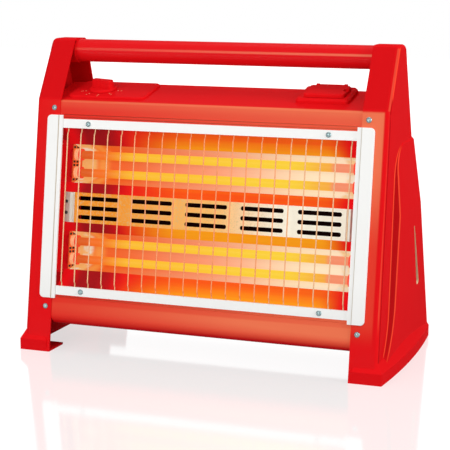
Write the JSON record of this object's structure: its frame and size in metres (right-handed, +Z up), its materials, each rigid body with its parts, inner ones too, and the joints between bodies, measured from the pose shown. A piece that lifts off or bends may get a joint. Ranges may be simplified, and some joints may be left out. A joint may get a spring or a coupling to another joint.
{
  "type": "quartz heater",
  "caption": "Portable radiant heater: leaning sheet-metal body with quartz tubes behind a wire guard, hollow side panels, carrying bar, selector knob and lidded water cup.",
  "frame": {"origin": "on the floor under the middle of the four feet", "axes": "+X to the heater's right-hand panel seen from the front, front faces -Y, +Z up"},
  "size_m": [0.5474, 0.282, 0.4395],
  "materials": {
    "red_moulding": "glossy moulded",
    "red_enamel": "glossy enamel on sheet steel",
    "bar_enamel": "glossy enamel on steel tube",
    "white_trim": "white satin",
    "zinc": "bright zinc plate",
    "black_screw": "black oxide",
    "guard_chrome": "bright plated wire",
    "reflector": "polished sheet",
    "vent_steel": "satin sheet",
    "quartz": "milky quartz, lit",
    "filament": "heated resistance wire",
    "ceramic": "unglazed",
    "black_plastic": "moulded black",
    "cup_plastic": "moulded, pale",
    "steel_shaft": "turned",
    "terminal_nylon": "nylon"
  },
  "bodies": {
    "heater": {"right_side_panel": "red_moulding", "left_side_panel": "red_moulding", "handle_bar": "bar_enamel", "upper_shell": "red_enamel", "lower_shell": "red_enamel", "rear_cover": "red_enamel", "right_end_plate": "red_enamel", "left_end_plate": "red_enamel", "upper_baffle": "red_enamel", "lower_baffle": "red_enamel", "centre_channel": "red_enamel", "vent_plate": "vent_steel", "vent_end_clips": "vent_steel", "upper_reflector": "reflector", "lower_reflector": "reflector", "right_end_caps": "ceramic", "left_end_caps": "ceramic", "right_tube_brackets": "red_enamel", "left_tube_brackets": "red_enamel", "right_trim_strip": "white_trim", "left_trim_strip": "white_trim", "top_trim_rail": "white_trim", "bottom_trim_rail": "white_trim", "guard_wires": "guard_chrome", "panel_screws": "zinc", "rail_screws": "zinc", "rear_screws": "zinc", "clip_screws": "black_screw", "control_plate": "red_moulding", "rotary_switch": "black_plastic", "humidifier_frame": "red_moulding", "water_cup": "cup_plastic", "terminal_block": "terminal_nylon", "tilt_switch": "black_plastic", "thermal_cutout": "black_plastic", "cord_gland": "black_plastic", "quartz_tube_1": "quartz", "filament_1": "filament", "quartz_tube_2": "quartz", "filament_2": "filament", "quartz_tube_3": "quartz", "filament_3": "filament", "quartz_tube_4": "quartz", "filament_4": "filament"},
    "selector": {"selector_knob": "red_moulding", "switch_shaft": "steel_shaft"},
    "lid": {"humidifier_lid": "red_moulding"}
  },
  "joints": [
    {"name": "selector_turn", "type": "hinge", "parent": "heater", "child": "selector", "pos_m": [-0.176, -0.03976, 0.36532], "axis": [0, -0.2267, 0.974], "range_deg": [-146, 0]},
    {"name": "lid_hinge", "type": "hinge", "parent": "heater", "child": "lid", "pos_m": [0.15725, -0.01358, 0.38076], "axis": [-1, 0, 0], "range_deg": [0, 55]}
  ]
}
